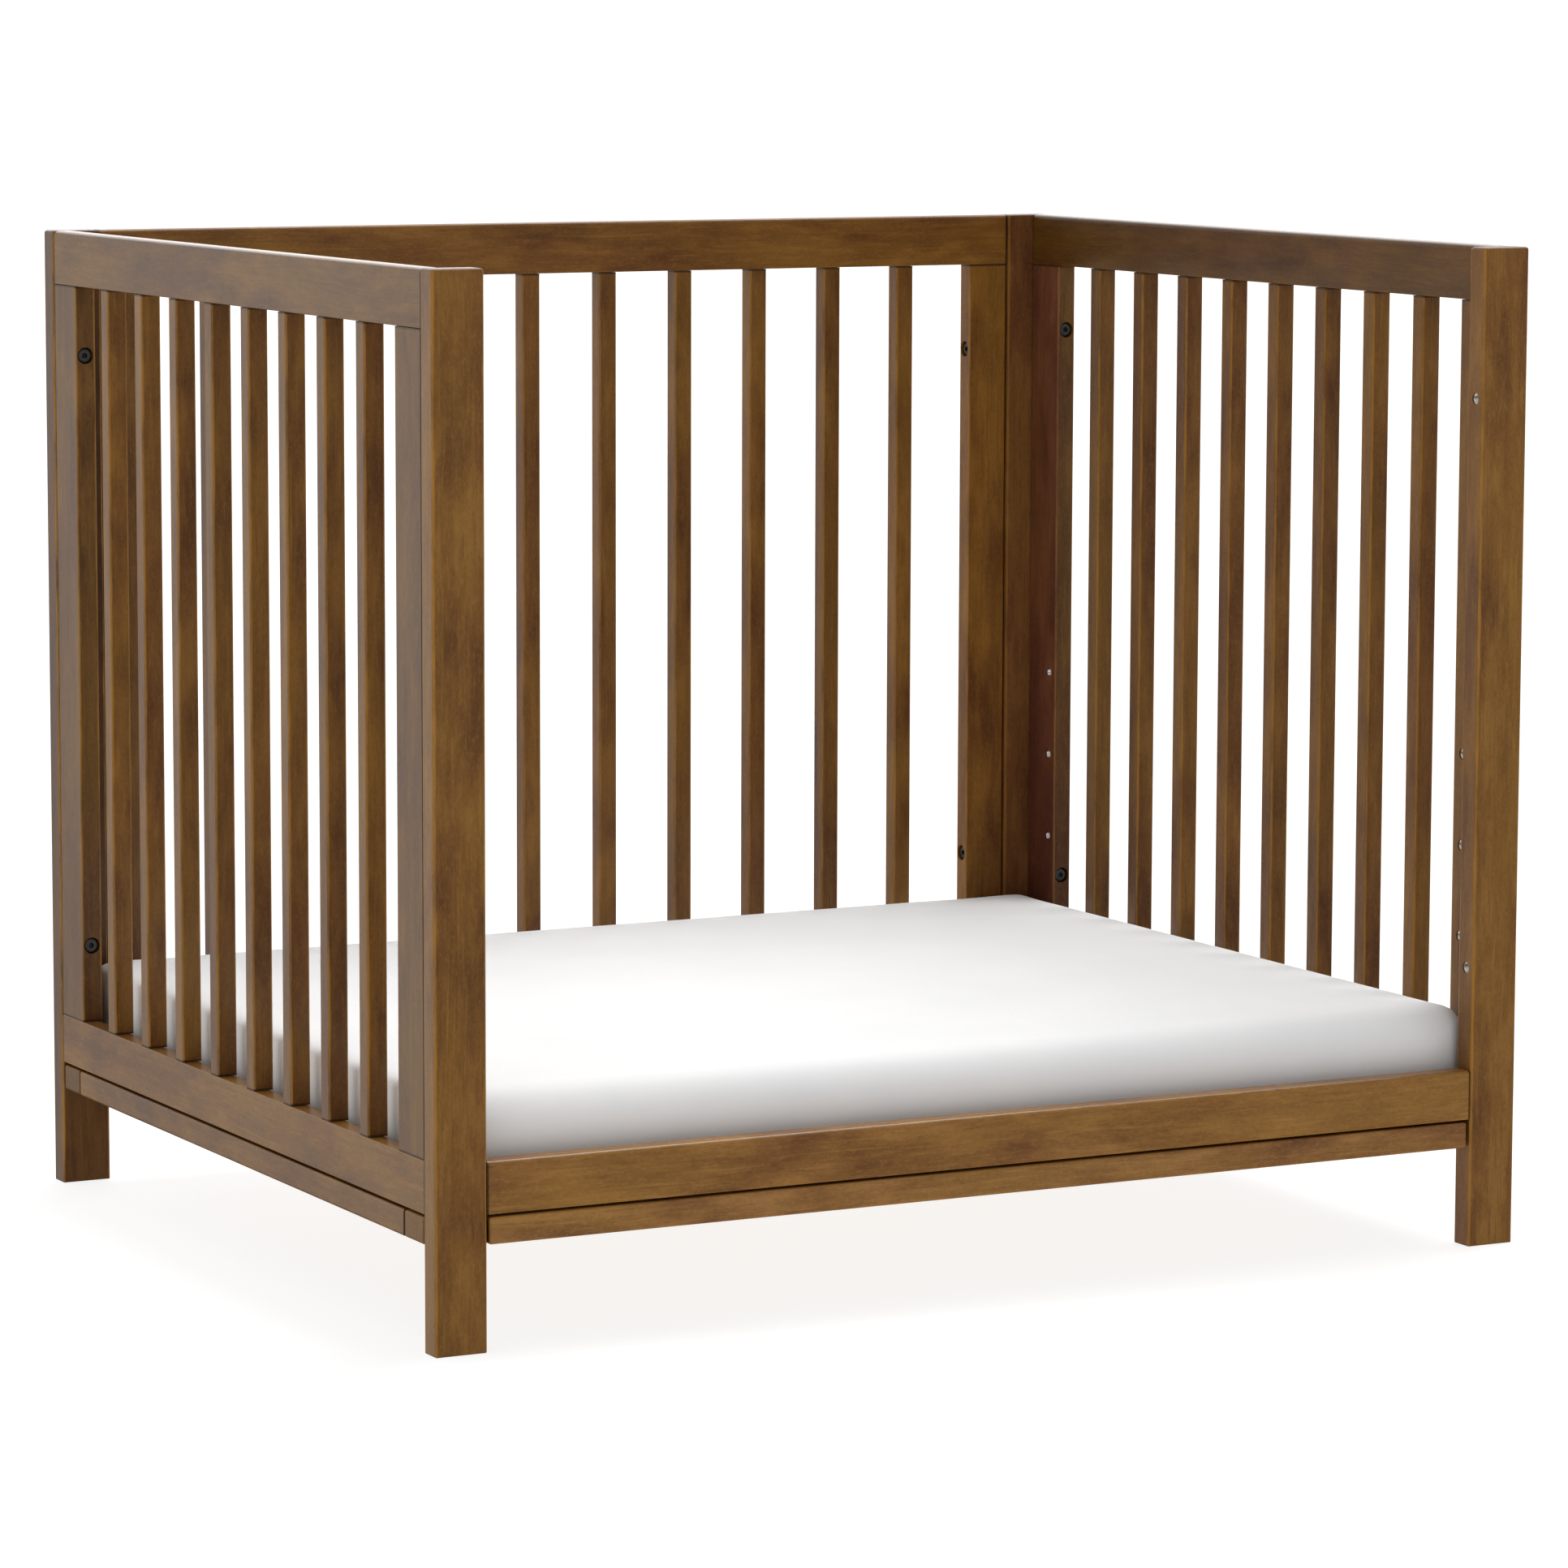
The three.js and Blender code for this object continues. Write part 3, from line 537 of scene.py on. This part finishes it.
for i, (name, o) in enumerate(sorted(NODES.items())):
    lo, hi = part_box(name)
    lo, hi = list(lo), list(hi)
    if "slat" in name or "stile" in name:
        lo[2], hi[2] = LOW_TOP, TOP_LOW
        slat = "slat" in name
        soften(o, (2.3 if slat else 1.5) * MM, lo, hi, 2, 0.13)
        wood(name, o, 2, 100 + i, lo, hi, (2.0 if slat else 1.7) * MM, 0.10, 0.35 if name == "right_rear_stile" else 0.66, guarded(name, lo, hi), seam_of(name, lo, hi))
    elif name.startswith("post"):
        soften(o, 2.6 * MM, lo, hi, 2, 1.0, lambda a, b: 0.45 if max(a[2], b[2]) < 0.01 else 1.0)
        wood(name, o, 2, 200 + i, lo, hi, 2.4 * MM, 0.03, 0.45 if name == "post_rear_right" else 0.85)
    elif "rail" in name:
        mid = (lo[2] + hi[2]) / 2
        soften(o, 4.0 * MM, lo, hi, 0 if name.startswith(("back", "front")) else 1, 0.26, lambda a, b, mid=mid: 1.0 if (a[2] + b[2]) / 2 > mid else 0.17)
        wood(name, o, 0 if name.startswith(("back", "front")) else 1, 300 + i, lo, hi, 1.0 * MM, 0.03, 0.22)
    elif name.startswith("base"):
        soften(o, 2.2 * MM)
        wood(name, o, 0 if name in ("base_front_board", "base_rear_board") else 1, 400 + i, lo, hi, 1.2 * MM, 0.03, 0.30)
    elif name == "mattress_board":
        soften(o, 0.8 * MM, segments=2)
        set_material(o, pale_board("birch_board"))
    elif name.startswith("support_angle"):
        soften(o, 0.5 * MM, segments=2)
        set_material(o, powder_coat("coat_" + name))


# ------------------------------------------------------------------ small turned pieces
def lathe(name, profile, sides=48, seat=None):
    """Closed turned mesh about local Z from (radius, height) points that start and end on the axis."""
    bm = bmesh.new()
    rings = []
    for r, z in profile:
        if r < 1e-9:
            rings.append([bm.verts.new((0, 0, z))])
        else:
            rings.append([bm.verts.new((r * math.cos(2 * math.pi * k / sides), r * math.sin(2 * math.pi * k / sides), z)) for k in range(sides)])
    for a, b in zip(rings, rings[1:]):
        for k in range(sides):
            k2 = (k + 1) % sides
            if len(a) == 1 and len(b) == 1:
                continue
            if len(a) == 1:
                bm.faces.new((a[0], b[k2], b[k]))
            elif len(b) == 1:
                bm.faces.new((a[k], a[k2], b[0]))
            else:
                bm.faces.new((a[k], a[k2], b[k2], b[k]))
    bmesh.ops.recalc_face_normals(bm, faces=bm.faces)
    return bm


def hexed(bm, across, z_top, depth):
    """Sinks a hexagon socket with a drilled cone into the flat top of a lathe made by lathe()."""
    cutter = bmesh.new()
    ring = [[cutter.verts.new((across * math.cos(math.pi / 3 * k), across * math.sin(math.pi / 3 * k), z)) for k in range(6)] for z in (z_top - depth, z_top + 0.002)]
    tip = cutter.verts.new((0, 0, z_top - depth - across * 0.45))
    top = cutter.verts.new((0, 0, z_top + 0.002))
    for k in range(6):
        k2 = (k + 1) % 6
        cutter.faces.new((ring[0][k], ring[0][k2], ring[1][k2], ring[1][k]))
        cutter.faces.new((ring[0][k2], ring[0][k], tip))
        cutter.faces.new((ring[1][k], ring[1][k2], top))
    bmesh.ops.recalc_face_normals(cutter, faces=cutter.faces)
    a, b = bpy.data.meshes.new("tool_a"), bpy.data.meshes.new("tool_b")
    bm.to_mesh(a)
    cutter.to_mesh(b)
    bm.free()
    cutter.free()
    oa, ob = collection_add(bpy.data.objects.new("tool_a", a)), collection_add(bpy.data.objects.new("tool_b", b))
    m = oa.modifiers.new("cut", "BOOLEAN")
    m.operation, m.object, m.solver = "DIFFERENCE", ob, "EXACT"
    me = bpy.data.meshes.new_from_object(oa.evaluated_get(bpy.context.evaluated_depsgraph_get()))
    for o in (oa, ob):
        bpy.data.objects.remove(o)
    for x in (a, b):
        bpy.data.meshes.remove(x)
    return me


def finish_mesh(me, sharp_deg=35, bevel=None):
    bm = bmesh.new()
    bm.from_mesh(me)
    bmesh.ops.remove_doubles(bm, verts=bm.verts, dist=1e-7)
    if bevel:
        edges = [e for e in bm.edges if e.is_manifold and e.calc_face_angle(0) > math.radians(sharp_deg)]
        bmesh.ops.bevel(bm, geom=edges, offset=bevel, segments=2, profile=0.5, affect="EDGES", clamp_overlap=True)
    for e in bm.edges:
        e.smooth = not (e.is_manifold and e.calc_face_angle(0) > math.radians(sharp_deg))
    for f in bm.faces:
        f.smooth = True
    bm.to_mesh(me)
    bm.free()
    return me


def bolt_mesh():
    """M6 socket-head bolt: underside of the head at z = 0, head towards +z."""
    R, H, L = 5.85 * MM, 4.4 * MM, 60 * MM
    prof = [(0, -L), (2.2 * MM, -L), (3.0 * MM, -L + 0.9 * MM)]
    # rolled thread over the last 24 mm
    z = -L + 0.9 * MM
    while z < -L + 24 * MM:
        prof += [(3.0 * MM, z + 0.30 * MM), (2.55 * MM, z + 0.5 * MM), (3.0 * MM, z + 0.7 * MM)]
        z += 1.0 * MM
    prof += [(2.9 * MM, -L + 25 * MM), (2.9 * MM, 0.0), (R - 0.25 * MM, 0.0), (R, 0.25 * MM), (R, H - 1.1 * MM)]
    for k in range(1, 6):
        t = math.radians(90 * k / 6)
        prof.append((R - 0.8 * MM * (1 - math.cos(t)), H - 1.1 * MM + 0.8 * MM * math.sin(t)))
    prof += [(R - 1.0 * MM, H - 0.22 * MM), (R - 1.5 * MM, H - 0.12 * MM), (R - 1.75 * MM, H - 0.30 * MM), (R - 2.0 * MM, H - 0.12 * MM), (R - 2.4 * MM, H), (0, H)]
    bm = lathe("bolt", prof, 40)
    me = hexed(bm, 2.75 * MM, H, 2.6 * MM)
    me.name = "bolt_mesh"
    return finish_mesh(me)


def insert_mesh():
    """Threaded insert, open end at z = 0, body towards -z."""
    prof_out = [(4.70 * MM, -11.2 * MM), (4.70 * MM, -1.5 * MM), (4.74 * MM, -1.1 * MM), (4.62 * MM, -0.92 * MM), (4.35 * MM, -0.88 * MM)]
    prof_in = [(3.55 * MM, -0.88 * MM), (3.25 * MM, -1.15 * MM), (3.0 * MM, -1.6 * MM)]
    z = -1.6 * MM
    thread = []
    while z > -9.6 * MM:
        thread += [(2.62 * MM, z - 0.35 * MM), (3.0 * MM, z - 0.75 * MM)]
        z -= 0.8 * MM
    end = [(3.0 * MM, z - 0.2 * MM), (0, z - 0.6 * MM)]
    bm = lathe("insert", [(0, -11.2 * MM)] + prof_out + prof_in + thread + end, 36)
    me = bpy.data.meshes.new("insert_mesh")
    bm.to_mesh(me)
    bm.free()
    return finish_mesh(me, 40)


def aim(direction):
    """Rotation that takes +Z to direction."""
    return Vector((0, 0, 1)).rotation_difference(Vector(direction)).to_matrix().to_4x4()


BOLT = bolt_mesh()
INSERT = insert_mesh()
BLACK = black_oxide("black_oxide")
NICKEL = nickel("nickel_plate")
BOLT.materials.append(BLACK)
BOLT.materials.append(black_oxide("black_oxide_socket_painted_shade", 0.12))
# the faces inside the hex socket get the dimmed copy: painted shade in the socket
for f in BOLT.polygons:
    m = sum((BOLT.vertices[i].co for i in f.vertices), Vector()) / len(f.vertices)
    if math.hypot(m.x, m.y) < 3.3 * MM and 1.0 * MM < m.z < 4.25 * MM:
        f.material_index = 1
INSERT.materials.append(NICKEL)


def place(name, mesh, point, direction, body, stands_for=None):
    o = collection_add(bpy.data.objects.new(name, mesh.copy()))
    o.matrix_world = Matrix.Translation(point) @ aim(direction) @ Matrix.Rotation(0.37 * (len(name) % 7), 4, "Z")
    bpy.context.view_layer.update()
    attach(o, body)
    if stands_for:
        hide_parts(stands_for)
    return o


# bolts that the CAD holds, made again in full detail where they are
HEAD_H = 4.4 * MM
for side in ("left", "right"):
    for level in ("lower", "upper"):
        n = f"bolt_{side}_rear_{level}"
        lo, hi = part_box(n)
        c = (lo + hi) / 2
        place("detail_" + n, BOLT, (c.x, lo.y + HEAD_H, c.z), (0, -1, 0), "frame", n)
        # the same bolt mirrored in the front stile
        place(f"detail_bolt_{side}_front_{level}", BOLT, (c.x, -(lo.y + HEAD_H), c.z), (0, 1, 0), "frame")
        n = f"bolt_back_{side}_{level}"
        lo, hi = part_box(n)
        c = (lo + hi) / 2
        s = 1 if side == "right" else -1
        head = lo.x + HEAD_H if s > 0 else hi.x - HEAD_H
        place("detail_" + n, BOLT, (head, c.y, c.z), (-s, 0, 0), "frame", n)

# threaded inserts: three heights on each end stile, two on each front post
INSERT_Z = (0.2565, 0.3345, 0.4125)
INSERT_Y = 0.351
for side, s in (("left", -1), ("right", 1)):
    lo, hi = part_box(f"{side}_front_stile")
    face = hi.x if s < 0 else lo.x
    for tag, y in (("front", -INSERT_Y), ("rear", INSERT_Y)):
        for k, z in enumerate(INSERT_Z):
            place(f"insert_{side}_{tag}_{k + 1}", INSERT, (face, y, z), (-s, 0, 0), "frame")
    lo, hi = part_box(f"post_front_{side}")
    face = hi.x if s < 0 else lo.x
    for k, z in enumerate((0.238, 0.718)):
        place(f"insert_{side}_post_{k + 1}", INSERT, (face, (lo.y + hi.y) / 2, z), (-s, 0, 0), "frame")


# ------------------------------------------------------------------ mattress
M_LO, M_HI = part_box("mattress")


SWELL = 3.0 * MM


def mattress_mesh():
    """Foam block in a fitted knit cover: soft rounded edges, full corners. A little smaller than it ends up."""
    hx, hy = (M_HI.x - M_LO.x) / 2 - SWELL, (M_HI.y - M_LO.y) / 2 - SWELL
    cx, cy = (M_HI.x + M_LO.x) / 2, (M_HI.y + M_LO.y) / 2
    z0, z1 = M_LO.z, M_HI.z + 2.0 * MM
    RB, CORNER = 7 * MM, 7 * MM
    R_FRONT, R_BACK, R_END = 25 * MM, 10 * MM, 8 * MM
    rings = []

    def outline(front, back, end, z, n_side=(74, 60), n_corner=9):
        r = max(CORNER - min(front, back, end), 2 * MM)
        ax, y_of = hx - end, {-1: front - hy, 1: hy - back}
        pts = []
        for qx, qy, a0, n in ((1, -1, -math.pi / 2, n_side[1]), (1, 1, 0.0, n_side[0]), (-1, 1, math.pi / 2, n_side[1]), (-1, -1, math.pi, n_side[0])):
            ox, oy = qx * (ax - r), y_of[qy] - qy * r
            for k in range(n_corner + 1):
                t = a0 + math.pi / 2 * k / n_corner
                pts.append((ox + r * math.cos(t), oy + r * math.sin(t)))
            # straight run to the next corner
            nxt = {(1, -1): (1, 1), (1, 1): (-1, 1), (-1, 1): (-1, -1), (-1, -1): (1, -1)}[(qx, qy)]
            tx, ty = nxt[0] * (ax - r), y_of[nxt[1]] - nxt[1] * r
            t1 = a0 + math.pi / 2
            sx, sy = ox + r * math.cos(t1), oy + r * math.sin(t1)
            ex, ey = tx + r * math.cos(t1), ty + r * math.sin(t1)
            for k in range(1, n):
                f = k / n
                pts.append((sx + (ex - sx) * f, sy + (ey - sy) * f))
        return [(x + cx, y + cy, z) for x, y in pts]

    for k in range(7):
        t = math.pi / 2 * k / 6
        inset = RB * (1 - math.sin(t))
        rings.append(outline(inset, inset, inset, z0 + RB * (1 - math.cos(t))))
    n_mid = 6
    for k in range(1, n_mid):
        rings.append(outline(0.0, 0.0, 0.0, z0 + RB + (z1 - R_FRONT - z0 - RB) * k / n_mid))

    def inset_at(radius, z):
        d = min(z - (z1 - radius), radius)
        return 0.0 if d <= 0 else radius - math.sqrt(max(radius * radius - d * d, 0.0))

    for k in range(17):
        z = z1 - R_FRONT + R_FRONT * math.sin(math.pi / 2 * k / 16)
        rings.append(outline(inset_at(R_FRONT, z), inset_at(R_BACK, z), inset_at(R_END, z), z))
    bm = bmesh.new()
    made = [[bm.verts.new(p) for p in ring] for ring in rings]
    n = len(made[0])
    for a, b in zip(made, made[1:]):
        for k in range(n):
            bm.faces.new((a[k], a[(k + 1) % n], b[(k + 1) % n], b[k]))
    bm.faces.new(list(reversed(made[0])))
    bm.faces.new(made[-1])
    bmesh.ops.recalc_face_normals(bm, faces=bm.faces)
    me = bpy.data.meshes.new("mattress_mesh")
    bm.to_mesh(me)
    bm.free()
    return me


def inflate(o, cap, frames=20):
    """Inflates a closed cover by cloth simulation over its foam, moves no point further than cap and keeps the result."""
    me = o.data
    n = len(me.vertices)
    start = np.empty(n * 3, np.float64)
    me.vertices.foreach_get("co", start)
    start = start.reshape(-1, 3)
    held = o.vertex_groups.new(name="held")
    low = np.nonzero(start[:, 2] < start[:, 2].min() + 4 * MM)[0]
    held.add([int(i) for i in low], 1.0, "REPLACE")
    c = o.modifiers.new("cover", "CLOTH")
    c.settings.vertex_group_mass = "held"
    c.settings.quality = 5
    c.settings.mass = 0.25
    c.settings.use_pressure = True
    c.settings.uniform_pressure_force = 4.0
    c.settings.tension_stiffness = 12.0
    c.settings.compression_stiffness = 12.0
    c.settings.bending_stiffness = 0.8
    c.settings.effector_weights.gravity = 0.0
    c.collision_settings.use_collision = False
    c.collision_settings.use_self_collision = False
    c.point_cache.frame_start, c.point_cache.frame_end = 1, frames
    for f in range(1, frames + 1):
        scene.frame_set(f)
    done = o.evaluated_get(bpy.context.evaluated_depsgraph_get()).data
    end = np.empty(n * 3, np.float64)
    done.vertices.foreach_get("co", end)
    move = end.reshape(-1, 3) - start
    far = np.linalg.norm(move, axis=1)
    # eases into the cap, so that no edge shows where it starts to hold
    move *= (cap * np.tanh(far / cap) / np.maximum(far, 1e-9))[:, None]
    o.modifiers.clear()
    o.vertex_groups.clear()
    scene.frame_set(1)
    me.vertices.foreach_set("co", (start + move).ravel())
    me.update()
    print("cover moved by up to %.2f mm, mean %.2f mm" % (1000 * np.linalg.norm(move, axis=1).max(), 1000 * np.linalg.norm(move, axis=1).mean()))


def applied(o):
    me = bpy.data.meshes.new_from_object(o.evaluated_get(bpy.context.evaluated_depsgraph_get()))
    o.modifiers.clear()
    o.data = me
    return me


pad = collection_add(bpy.data.objects.new("mattress_padded", mattress_mesh()))
r = pad.modifiers.new("voxel", "REMESH")
r.mode, r.voxel_size, r.use_smooth_shade = "VOXEL", 0.0085, True
applied(pad)
inflate(pad, SWELL)
d = pad.modifiers.new("fine", "SUBSURF")
d.levels = d.render_levels = 1
me = applied(pad)
me.materials.append(mattress_cloth("white_knit"))
me.polygons.foreach_set("use_smooth", np.ones(len(me.polygons), bool))
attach(pad, "mattress")
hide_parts("mattress")


# ------------------------------------------------------------------ studio
def studio_floor(name):
    """White sweep lit a little from below, as on a light table."""
    g = Graph(name)
    f = g.noise(g.coords(), 3.0, 2.0, 0.5)
    g.put(g.bsdf.inputs["Base Color"], g.mix(g.remap(f, 0.3, 0.7, 0.0, 0.4), (0.26, 0.26, 0.26), (0.255, 0.255, 0.255)))
    g.bsdf.inputs["Roughness"].default_value = 0.9
    g.bsdf.inputs["Specular IOR Level"].default_value = 0.1
    g.bsdf.inputs["Emission Color"].default_value = (1, 1, 1, 1)
    g.bsdf.inputs["Emission Strength"].default_value = 0.82
    return g.mat


bm = bmesh.new()
bmesh.ops.create_grid(bm, x_segments=8, y_segments=8, size=900)
fm = bpy.data.meshes.new("floor_mesh")
bm.to_mesh(fm)
bm.free()
floor = collection_add(bpy.data.objects.new("floor", fm))
floor.location = (0, 0, 0)
fm.materials.append(studio_floor("pale_floor"))
floor.visible_glossy = False
floor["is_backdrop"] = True


def area(name, location, target, size, size_y, power, color=(1, 1, 1)):
    light = bpy.data.lights.new(name, "AREA")
    light.shape = "RECTANGLE"
    light.size, light.size_y = size, size_y
    light.energy = power
    light.color = color
    o = collection_add(bpy.data.objects.new(name, light))
    o.location = location
    o.rotation_euler = (Vector(target) - Vector(location)).to_track_quat("-Z", "Y").to_euler()
    return o


world = bpy.data.worlds.new("studio")
scene.world = world
world.use_nodes = True
wt = world.node_tree
wt.nodes.clear()
wo = wt.nodes.new("ShaderNodeOutputWorld")
bg = wt.nodes.new("ShaderNodeBackground")
wt.links.new(bg.outputs[0], wo.inputs[0])
tc = wt.nodes.new("ShaderNodeTexCoord")
sep = wt.nodes.new("ShaderNodeSeparateXYZ")
wt.links.new(tc.outputs["Generated"], sep.inputs[0])


def wmath(op, a, b=0.0, c=0.0):
    n = wt.nodes.new("ShaderNodeMath")
    n.operation = op
    for s, v in zip(n.inputs, (a, b, c)):
        if hasattr(v, "is_output"):
            wt.links.new(v, s)
        else:
            s.default_value = v
    return n.outputs[0]


def wramp(v, a, b, c, d):
    n = wt.nodes.new("ShaderNodeMapRange")
    n.interpolation_type = "SMOOTHSTEP"
    wt.links.new(v, n.inputs["Value"])
    for key, val in (("From Min", a), ("From Max", b), ("To Min", c), ("To Max", d)):
        n.inputs[key].default_value = val
    return n.outputs[0]


# a studio: light ceiling, a paler wall behind than in front, and a tall white card behind on the left
back_wall = wramp(sep.outputs[1], -0.5, 0.6, 0.42, 0.44)
left_wall = wramp(sep.outputs[0], 0.3, -0.9, 0.0, 0.10)
ceiling = wramp(sep.outputs[2], 0.15, 0.90, 0.0, 0.16)
above = wramp(sep.outputs[2], -0.25, 0.02, 0.35, 1.0)
room = wmath("MULTIPLY", wmath("ADD", wmath("ADD", back_wall, left_wall), ceiling), above)


def patch_of_light(direction, edge, full, radiance):
    """A soft-edged round softbox on the studio's walls, toward a direction."""
    v = Vector(direction).normalized()
    dot = wmath("ADD", wmath("ADD", wmath("MULTIPLY", sep.outputs[0], v.x), wmath("MULTIPLY", sep.outputs[1], v.y)), wmath("MULTIPLY", sep.outputs[2], v.z))
    return wramp(dot, math.cos(math.radians(edge)), math.cos(math.radians(full)), 0.0, radiance)


# a large softbox behind the object, low down, and a small bright one overhead
room = wmath("ADD", room, patch_of_light((0.27, 0.88, 0.36), 28.0, 18.0, 2.3))
room = wmath("ADD", room, patch_of_light((0.43, 0.22, 0.87), 20.0, 12.0, 8.2))
lp = wt.nodes.new("ShaderNodeLightPath")
seen = wt.nodes.new("ShaderNodeMix")
wt.links.new(lp.outputs["Is Camera Ray"], seen.inputs[0])
wt.links.new(room, seen.inputs[2])
seen.inputs[3].default_value = 1.0
wt.links.new(seen.outputs[0], bg.inputs["Strength"])
bg.inputs["Color"].default_value = (1, 1, 1, 1)

card = area("card", (-2.9, 2.6, 0.5), (-0.4, 0.0, 0.4), 3.4, 3.2, 36.0, (1.0, 0.955, 0.885))

lo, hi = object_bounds()
